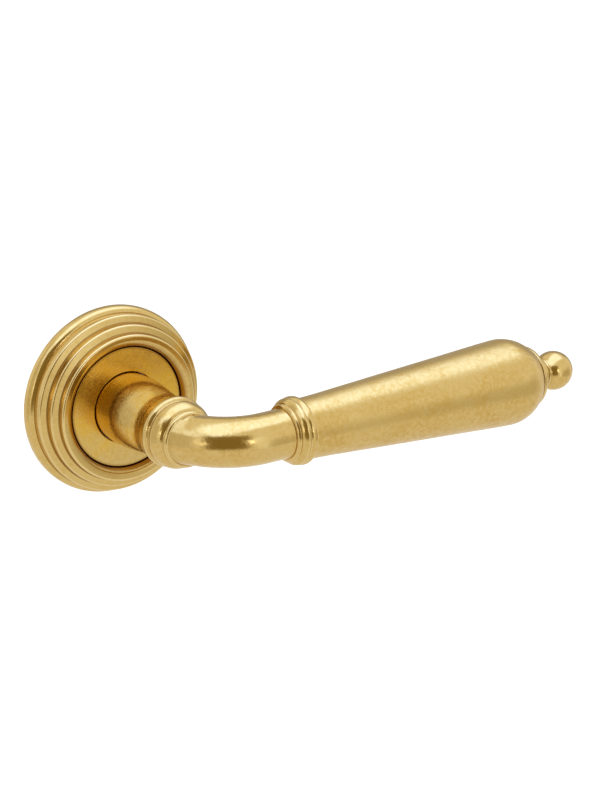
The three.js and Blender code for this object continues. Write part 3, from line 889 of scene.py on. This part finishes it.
def glow(name, tint, strength, soft_edge=0.0):
    """A card's light. With a soft edge it fades to clear over that share of the card's half width."""
    material = bpy.data.materials.new(name)
    material.use_nodes = True
    tree = material.node_tree
    tree.nodes.clear()
    surface = add_node(tree, "Emission", {"Color": (*tint, 1), "Strength": strength}).outputs[0]
    if soft_edge:
        place = add_node(tree, "UVMap", uv_map="card").outputs[0]
        middle = {0: place, 1: (0.5, 0.5, 0)}
        from_middle = add_node(tree, "VectorMath", middle, operation="SUBTRACT").outputs[0]
        across = add_node(tree, "VectorMath", {0: from_middle}, operation="ABSOLUTE").outputs[0]
        apart = add_node(tree, "SeparateXYZ", {0: across}).outputs
        covered = 1.0
        for axis in ("X", "Y"):
            inside = add_node(
                tree,
                "MapRange",
                {"Value": apart[axis], "From Min": 0.5, "From Max": 0.5 * (1 - soft_edge)},
                interpolation_type="SMOOTHSTEP",
            ).outputs[0]
            covered = combine(tree, "MULTIPLY", inside, covered)
        clear = add_node(tree, "BsdfTransparent").outputs[0]
        surface = add_node(tree, "MixShader", {0: covered, 1: clear, 2: surface}).outputs[0]
    add_node(tree, "OutputMaterial", {"Surface": surface})
    return material


def toward(azimuth, elevation):
    """A direction: azimuth 0 faces the door's front, and turns towards the grip's end."""
    a, e = math.radians(azimuth), math.radians(elevation)
    return Vector((math.sin(a) * math.cos(e), -math.cos(a) * math.cos(e), math.sin(e)))


# The view, round the middle of the lever. Angles are in degrees and lengths in metres.
VIEW_TARGET = Vector((0.04188, -0.03, -0.00046))
VIEW_AZIMUTH = -34.99
VIEW_ELEVATION = 18.71
VIEW_DISTANCE = 0.5396

# The cloths and small lights that the metal reflects: each one's name, azimuth, elevation, width,
# height, tint, strength and the share of its half width over which it fades.
CARD_DISTANCE = 0.8
FIRM = 0.25
SOFT = 0.6
CARDS = (
    ("dark_cloth", -34, 15.5, 0.97, 1.04, (1.0, 0.74, 0.24), 0.29, FIRM),
    ("right_strip", 9, 4, 0.18, 0.9, (0.95, 1.0, 1.1), 1.15, FIRM),
    ("dim_cloth", 48, -12, 1.0, 0.8, (1.0, 0.95, 0.8), 0.66, SOFT),
    ("back_cloth", 150, 6, 1.9, 1.1, (1.0, 0.95, 0.85), 0.5, FIRM),
    ("side_cloth", -107, 6, 1.0, 1.8, (1.0, 0.97, 0.9), 0.76, FIRM),
    ("left_strip", -70, 18, 0.12, 0.4, (0.95, 1.0, 1.1), 1.3, FIRM),
    ("left_silk", -86, 42, 0.38, 0.34, (0.8, 0.9, 1.25), 1.6, FIRM),
    ("left_spark", -62, 8, 0.045, 0.2, (1.0, 1.0, 1.2), 3.4, FIRM),
    ("right_spark", -4, 14, 0.08, 0.26, (1.0, 1.0, 1.2), 3.6, FIRM),
)

# The silk overhead, which the metal reflects, and the softbox behind it, which lights it.
SILK_PLACE = Vector((0.0, -0.08, 0.72))
SILK_TILT = Vector((0.04, 0.015, 0.72))
SILK_SIZE = (0.74, 1.95)
SILK_TINT = (0.70, 0.84, 1.30)
SILK_FADE = 0.5
SOFTBOX_PLACE = Vector((0.22, 0.08, 0.79))
SOFTBOX_SIZE = (0.76, 1.5)

TABLE_SIZE = 12
TABLE_TINT = (1.0, 0.985, 0.96)
TABLE_LIFT = 0.01
FLOOR_HALF_WIDTH = 6
PAPER_GLOW = 0.14


class LEVER_OT_studio(bpy.types.Operator):
    """Set the camera, the pale floor and the soft light"""

    bl_idname = "lever.studio"
    bl_label = "Studio"

    def execute(self, context):
        scene = context.scene
        sizes = scene.lever_studio
        scene.view_settings.view_transform = "Standard"

        camera = bpy.data.objects.new("camera", bpy.data.cameras.new("camera"))
        camera.data.lens = 90
        camera.data.sensor_width = 36
        back = toward(VIEW_AZIMUTH, VIEW_ELEVATION)
        camera.location = VIEW_TARGET + back * VIEW_DISTANCE
        camera.rotation_euler = back.to_track_quat("Z", "Y").to_euler()
        scene.collection.objects.link(camera)
        scene.camera = camera

        world = bpy.data.worlds.new("white_room")
        world.use_nodes = True
        background = world.node_tree.nodes["Background"]
        background.inputs["Color"].default_value = (1, 1, 1, 1)
        background.inputs["Strength"].default_value = sizes.room_light
        scene.world = world

        bm = bmesh.new()
        bmesh.ops.create_grid(bm, x_segments=1, y_segments=1, size=FLOOR_HALF_WIDTH)
        bmesh.ops.translate(bm, vec=(0, 0, -sizes.floor_drop), verts=bm.verts)
        mesh = bpy.data.meshes.new("floor")
        bm.to_mesh(mesh)
        bm.free()
        floor = bpy.data.objects.new("floor", mesh)
        scene.collection.objects.link(floor)
        paper, tree, shader, place = start_material("white_paper")
        fleck = speckle(tree, place, 0.02, 2)
        white = blend_colours(tree, fleck, (0.93, 0.93, 0.93), (0.95, 0.95, 0.95))
        tree.links.new(white, shader.inputs["Base Color"])
        shader.inputs["Roughness"].default_value = 0.9
        shader.inputs["Emission Color"].default_value = (1, 1, 1, 1)
        shader.inputs["Emission Strength"].default_value = PAPER_GLOW
        mesh.materials.append(paper)

        softbox = bpy.data.lights.new("overhead_softbox", "AREA")
        softbox.shape = "RECTANGLE"
        softbox.size, softbox.size_y = SOFTBOX_SIZE
        softbox.energy = sizes.softbox_power
        top = bpy.data.objects.new("overhead_softbox", softbox)
        top.location = VIEW_TARGET + SOFTBOX_PLACE
        top.rotation_euler = SOFTBOX_PLACE.to_track_quat("Z", "Y").to_euler()
        top.visible_camera = False
        top.visible_glossy = False
        scene.collection.objects.link(top)

        silk = glow("softbox_silk", SILK_TINT, sizes.silk_glow, SILK_FADE)
        add_card("softbox_silk", VIEW_TARGET + SILK_PLACE, SILK_SIZE, -SILK_TILT, silk)
        table = glow("grey_table", TABLE_TINT, sizes.table_glow)
        below = Vector((0, 0, TABLE_LIFT - sizes.floor_drop))
        add_card("grey_table", below, (TABLE_SIZE, TABLE_SIZE), Vector((0, 0, 1)), table)
        for name, azimuth, elevation, width, height, tint, strength, fade in CARDS:
            heading = toward(azimuth, elevation)
            cloth = glow(name, tint, strength, fade)
            add_card(name, VIEW_TARGET + heading * CARD_DISTANCE, (width, height), -heading, cloth)
        return {"FINISHED"}


# ---- the add-on ----
class LEVER_PT_panel(bpy.types.Panel):
    """The sizes, finishes and steps of the door lever."""

    bl_idname = "LEVER_PT_panel"
    bl_label = "Door lever"
    bl_space_type = "VIEW_3D"
    bl_region_type = "UI"
    bl_category = "Door lever"

    def draw(self, context):
        scene = context.scene
        groups = (scene.lever_rose, scene.lever_sizes, scene.lever_finishes, scene.lever_studio)
        for group in groups:
            box = self.layout.box()
            for name in group.__annotations__:
                box.prop(group, name)
        for operator in OPERATORS:
            self.layout.operator(operator.bl_idname)


OPERATORS = (
    LEVER_OT_studio,
    LEVER_OT_cover,
    LEVER_OT_disc,
    LEVER_OT_arm,
    LEVER_OT_ferrule,
    LEVER_OT_grip,
    LEVER_OT_end,
    LEVER_OT_fixings,
    LEVER_OT_inside,
)
GROUPS = {
    "lever_rose": RoseSizes,
    "lever_sizes": LeverSizes,
    "lever_finishes": Finishes,
    "lever_studio": StudioSizes,
}


def register():
    for cls in (*GROUPS.values(), *OPERATORS, LEVER_PT_panel):
        bpy.utils.register_class(cls)
    for name, group in GROUPS.items():
        setattr(bpy.types.Scene, name, PointerProperty(type=group))


def unregister():
    for name in GROUPS:
        delattr(bpy.types.Scene, name)
    for cls in reversed((*GROUPS.values(), *OPERATORS, LEVER_PT_panel)):
        bpy.utils.unregister_class(cls)


def main():
    register()
    for operator in OPERATORS:
        group, name = operator.bl_idname.split(".")
        getattr(getattr(bpy.ops, group), name)()


if __name__ == "__main__":
    main()
